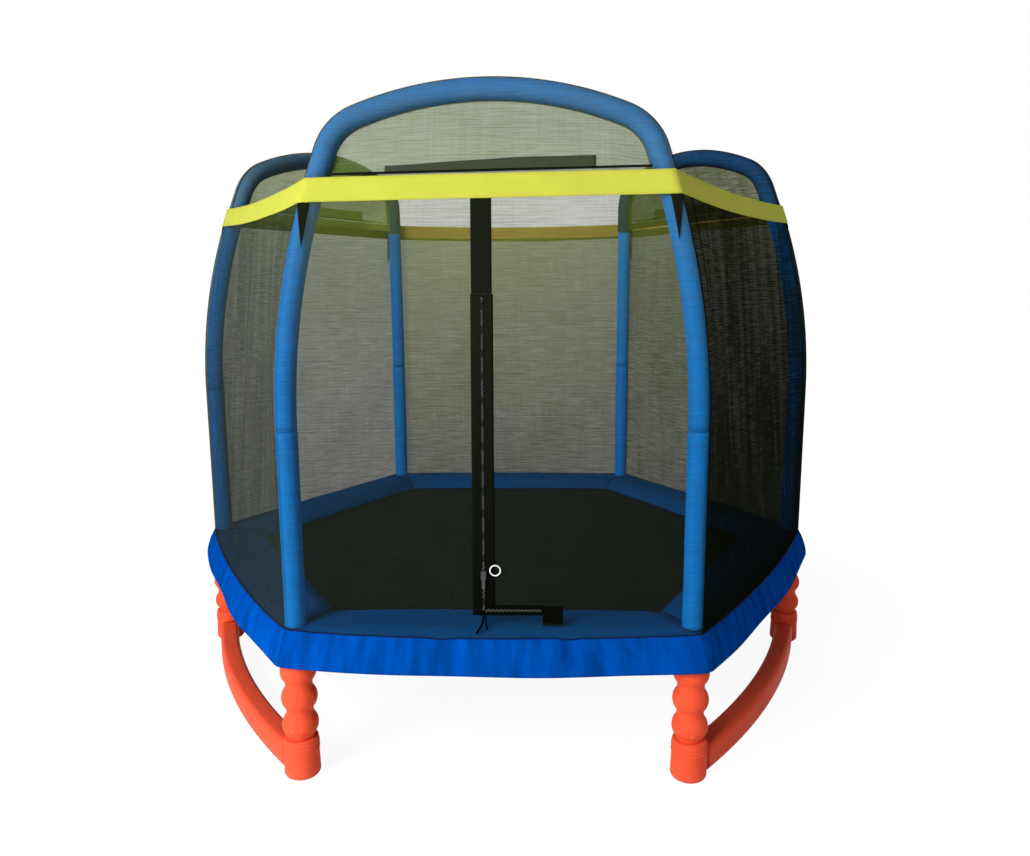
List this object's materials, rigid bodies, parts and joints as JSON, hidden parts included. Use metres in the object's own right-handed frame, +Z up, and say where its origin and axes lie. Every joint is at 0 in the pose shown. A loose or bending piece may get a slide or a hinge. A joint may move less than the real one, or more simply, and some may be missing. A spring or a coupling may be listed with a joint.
{
  "type": "trampoline",
  "caption": "Hexagonal play trampoline with a netted enclosure on foam-sleeved arched poles, beaded moulded legs on ground rails, a padded spring cover and a zipped doorway.",
  "frame": {"origin": "on the ground at the middle of the hexagon of legs", "axes": "+Z up, -Y toward the side with the zipped doorway, +X from the left corner leg to the right corner leg"},
  "size_m": [2.1676, 1.9062, 1.7606],
  "materials": {
    "galvanised_steel": "satin galvanised",
    "hook_steel": "zinc plated",
    "leg_plastic": "blow-moulded, satin",
    "sleeve_foam": "soft foam sleeve with a smooth skin",
    "mat_fabric": "woven jumping fabric",
    "pad_cover": "vinyl-coated cloth, soft sheen",
    "dark_webbing": "woven tape",
    "net_mesh": "fine knotless mesh",
    "band_fabric": "woven cloth band",
    "zip_plastic": "moulded teeth",
    "zip_metal": "cast metal",
    "ring_plastic": "glossy"
  },
  "bodies": {
    "frame": {"top_rail_1": "galvanised_steel", "top_rail_2": "galvanised_steel", "top_rail_3": "galvanised_steel", "top_rail_4": "galvanised_steel", "top_rail_5": "galvanised_steel", "top_rail_6": "galvanised_steel", "corner_bracket_1": "galvanised_steel", "corner_bracket_2": "galvanised_steel", "corner_bracket_3": "galvanised_steel", "corner_bracket_4": "galvanised_steel", "corner_bracket_5": "galvanised_steel", "corner_bracket_6": "galvanised_steel", "leg_frame_1": "galvanised_steel", "leg_frame_2": "galvanised_steel", "leg_frame_3": "galvanised_steel", "leg_cover_1": "leg_plastic", "leg_cover_2": "leg_plastic", "leg_cover_3": "leg_plastic", "leg_cover_4": "leg_plastic", "leg_cover_5": "leg_plastic", "leg_cover_6": "leg_plastic", "foot_base_1": "leg_plastic", "foot_base_2": "leg_plastic", "foot_base_3": "leg_plastic", "lower_pole_1": "galvanised_steel", "lower_pole_2": "galvanised_steel", "lower_pole_3": "galvanised_steel", "lower_pole_4": "galvanised_steel", "lower_pole_5": "galvanised_steel", "lower_pole_6": "galvanised_steel", "arch_tube_1": "galvanised_steel", "arch_tube_2": "galvanised_steel", "arch_tube_3": "galvanised_steel", "lower_foam_1": "sleeve_foam", "lower_foam_2": "sleeve_foam", "lower_foam_3": "sleeve_foam", "lower_foam_4": "sleeve_foam", "lower_foam_5": "sleeve_foam", "lower_foam_6": "sleeve_foam", "arch_foam_1": "sleeve_foam", "arch_foam_2": "sleeve_foam", "arch_foam_3": "sleeve_foam", "springs": "hook_steel", "safety_pad": "pad_cover", "pad_skirt": "pad_cover", "pad_ties": "dark_webbing", "net_walls": "net_mesh", "arch_nets": "net_mesh", "net_band": "band_fabric", "arch_strips": "dark_webbing", "door_tape": "dark_webbing", "zip_teeth": "zip_plastic", "frame_screws": "hook_steel"},
    "mat": {"jump_mat": "mat_fabric", "mat_rings": "hook_steel"},
    "slider": {"zip_slider": "zip_metal"},
    "pull": {"zip_pull": "zip_metal"},
    "ring": {"door_ring": "ring_plastic"}
  },
  "joints": [
    {"name": "mat_bounce", "type": "slide", "parent": "frame", "child": "mat", "axis": [0, 0, 1], "range_m": [-0.12, 0], "stiffness_N_per_m": 4000, "springref_m": 0.012, "deforming": ["springs"]},
    {"name": "zip_travel", "type": "slide", "parent": "frame", "child": "slider", "axis": [0, 0.0495, 0.9988], "range_m": [-0.075, 0.65]},
    {"name": "pull_swing", "type": "hinge", "parent": "slider", "child": "pull", "pos_m": [-0.022, -0.91152, 0.56414], "axis": [-1, 0, 0], "range_deg": [0, 165]},
    {"name": "ring_swing", "type": "hinge", "parent": "frame", "child": "ring", "pos_m": [-0.0059, -0.90563, 0.56785], "axis": [0, -0.0495, -0.9988], "range_deg": [0, 100]}
  ]
}
